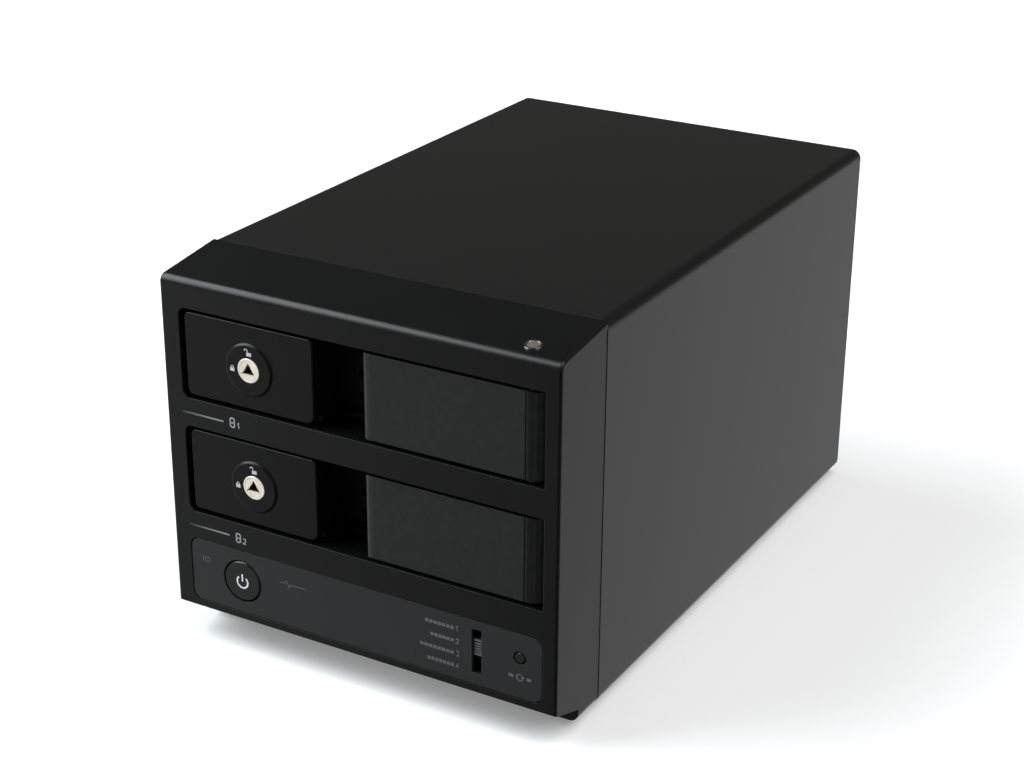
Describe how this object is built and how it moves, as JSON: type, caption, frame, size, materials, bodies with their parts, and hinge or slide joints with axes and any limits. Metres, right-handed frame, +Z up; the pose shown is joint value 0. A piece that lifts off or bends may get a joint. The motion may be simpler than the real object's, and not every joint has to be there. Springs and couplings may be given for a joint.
{
  "type": "network attached storage",
  "caption": "Desktop storage enclosure with key-locked swing doors over hard drives, a control strip with power button, slide selector and mode button, a sloping brow and a rear fan.",
  "frame": {"origin": "middle of the bounding box in X and Y, at the level of the feet on which it stands", "axes": "+X to the user's right when facing the doors, +Y to the back (the front face is at the -Y end), +Z up"},
  "size_m": [0.13, 0.2068, 0.1186],
  "materials": {
    "satin_black_cover": "fine satin black powder coat over aluminium",
    "black_plastic": "fine-textured satin black ABS",
    "door_plastic": "satin black ABS",
    "strip_plastic": "smooth semi-gloss black",
    "button_plastic": "smooth semi-gloss black",
    "knob_plastic": "dark grey",
    "light_pipe": "clear-grey light pipe",
    "lens": "clear polished lens",
    "ring_chrome": "polished",
    "lock_nickel": "satin nickel",
    "lock_brass": "worn brass",
    "bolt_zinc": "zinc-plated steel",
    "cage_steel": "galvanised sheet steel",
    "pin_steel": "ground steel",
    "panel_black": "black powder coat on sheet steel",
    "screw_black": "black oxide",
    "foot_rubber": "matt black rubber",
    "drive_cast": "die-cast",
    "drive_lid_steel": "fine brushed",
    "board_green": "solder mask",
    "chip_black": "moulded epoxy",
    "can_aluminium": "sleeved cans",
    "sink_aluminium": "anodised",
    "socket_black": "moulded nylon",
    "port_metal": "nickel-plated shell",
    "rail_grey": "dark grey ABS",
    "fan_black": "glass-filled nylon",
    "standoff_brass": "turned brass"
  },
  "bodies": {
    "housing": {"cover": "satin_black_cover", "front_bezel": "black_plastic", "indicator_ring": "ring_chrome", "indicator_lens": "lens", "feet": "foot_rubber", "control_panel": "strip_plastic", "power_switch": "socket_black", "mode_switch": "socket_black", "mode_selector": "socket_black", "front_board": "board_green", "light_bars": "light_pipe", "hinge_pins": "pin_steel", "cage_left": "cage_steel", "cage_right": "cage_steel", "shelf_upper": "cage_steel", "shelf_middle": "cage_steel", "shelf_lower": "cage_steel", "left_rails": "rail_grey", "right_rails": "rail_grey", "base_tray": "cage_steel", "board_standoffs": "standoff_brass", "main_board": "board_green", "front_header": "socket_black", "board_chips": "chip_black", "board_capacitors": "can_aluminium", "heat_sink": "sink_aluminium", "backplane": "board_green", "backplane_slot": "socket_black", "drive_sockets": "socket_black", "usb_port": "port_metal", "esata_port": "port_metal", "power_inlet": "socket_black", "rear_panel": "panel_black", "rear_screws": "screw_black", "fan_screws": "screw_black", "fan_frame": "fan_black"},
    "door_1": {"door_panel_1": "door_plastic", "door_liner_1": "door_plastic", "lock_barrel_1": "lock_nickel"},
    "lock_1": {"lock_plug_1": "lock_brass"},
    "bolt_1": {"lock_bolt_1": "bolt_zinc"},
    "ejector_1": {"ejector_bar_1": "cage_steel", "drive_case_1": "drive_cast", "drive_lid_1": "drive_lid_steel", "drive_board_1": "board_green"},
    "door_2": {"door_panel_2": "door_plastic", "door_liner_2": "door_plastic", "lock_barrel_2": "lock_nickel"},
    "lock_2": {"lock_plug_2": "lock_brass"},
    "bolt_2": {"lock_bolt_2": "bolt_zinc"},
    "ejector_2": {"ejector_bar_2": "cage_steel", "drive_case_2": "drive_cast", "drive_lid_2": "drive_lid_steel", "drive_board_2": "board_green"},
    "power_cap": {"power_button": "button_plastic"},
    "mode_cap": {"mode_button": "button_plastic"},
    "selector_knob": {"mode_knob": "knob_plastic"},
    "fan_wheel": {"fan_rotor": "fan_black"}
  },
  "joints": [
    {"name": "door_1_swing", "type": "hinge", "parent": "housing", "child": "door_1", "pos_m": [0.0549, -0.1002, 0.09285], "axis": [0, 0, 1], "range_deg": [0, 115]},
    {"name": "lock_1_turn", "type": "hinge", "parent": "door_1", "child": "lock_1", "pos_m": [-0.0349, -0.0994, 0.09205], "axis": [0, -1, 0], "range_deg": [0, 90]},
    {"name": "bolt_1_slide", "type": "slide", "parent": "door_1", "child": "bolt_1", "axis": [-1, 0, 0], "range_m": [0, 0.004]},
    {"name": "ejector_1_slide", "type": "slide", "parent": "housing", "child": "ejector_1", "axis": [0, -1, 0], "range_m": [0, 0.01]},
    {"name": "door_2_swing", "type": "hinge", "parent": "housing", "child": "door_2", "pos_m": [0.0549, -0.1002, 0.05645], "axis": [0, 0, 1], "range_deg": [0, 115]},
    {"name": "lock_2_turn", "type": "hinge", "parent": "door_2", "child": "lock_2", "pos_m": [-0.0349, -0.0994, 0.05565], "axis": [0, -1, 0], "range_deg": [0, 90]},
    {"name": "bolt_2_slide", "type": "slide", "parent": "door_2", "child": "bolt_2", "axis": [-1, 0, 0], "range_m": [0, 0.004]},
    {"name": "ejector_2_slide", "type": "slide", "parent": "housing", "child": "ejector_2", "axis": [0, -1, 0], "range_m": [0, 0.01]},
    {"name": "power_press", "type": "slide", "parent": "housing", "child": "power_cap", "axis": [0, 1, 0], "range_m": [0, 0.001], "stiffness_N_per_m": 600},
    {"name": "mode_press", "type": "slide", "parent": "housing", "child": "mode_cap", "axis": [0, 1, 0], "range_m": [0, 0.0008], "stiffness_N_per_m": 500},
    {"name": "selector_move", "type": "slide", "parent": "housing", "child": "selector_knob", "axis": [0, 0, 1], "range_m": [-0.005, 0.0025]},
    {"name": "fan_spin", "type": "hinge", "parent": "housing", "child": "fan_wheel", "pos_m": [0, 0.0926, 0.074], "axis": [0, 1, 0], "continuous": true}
  ],
  "couplings": [
    {"joint": "lock_1_turn", "follows": "bolt_1_slide", "rad_per_m": 392.69},
    {"joint": "ejector_1_slide", "follows": "door_1_swing", "m_per_rad": 0.0049822},
    {"joint": "lock_2_turn", "follows": "bolt_2_slide", "rad_per_m": 392.69},
    {"joint": "ejector_2_slide", "follows": "door_2_swing", "m_per_rad": 0.0049822}
  ]
}
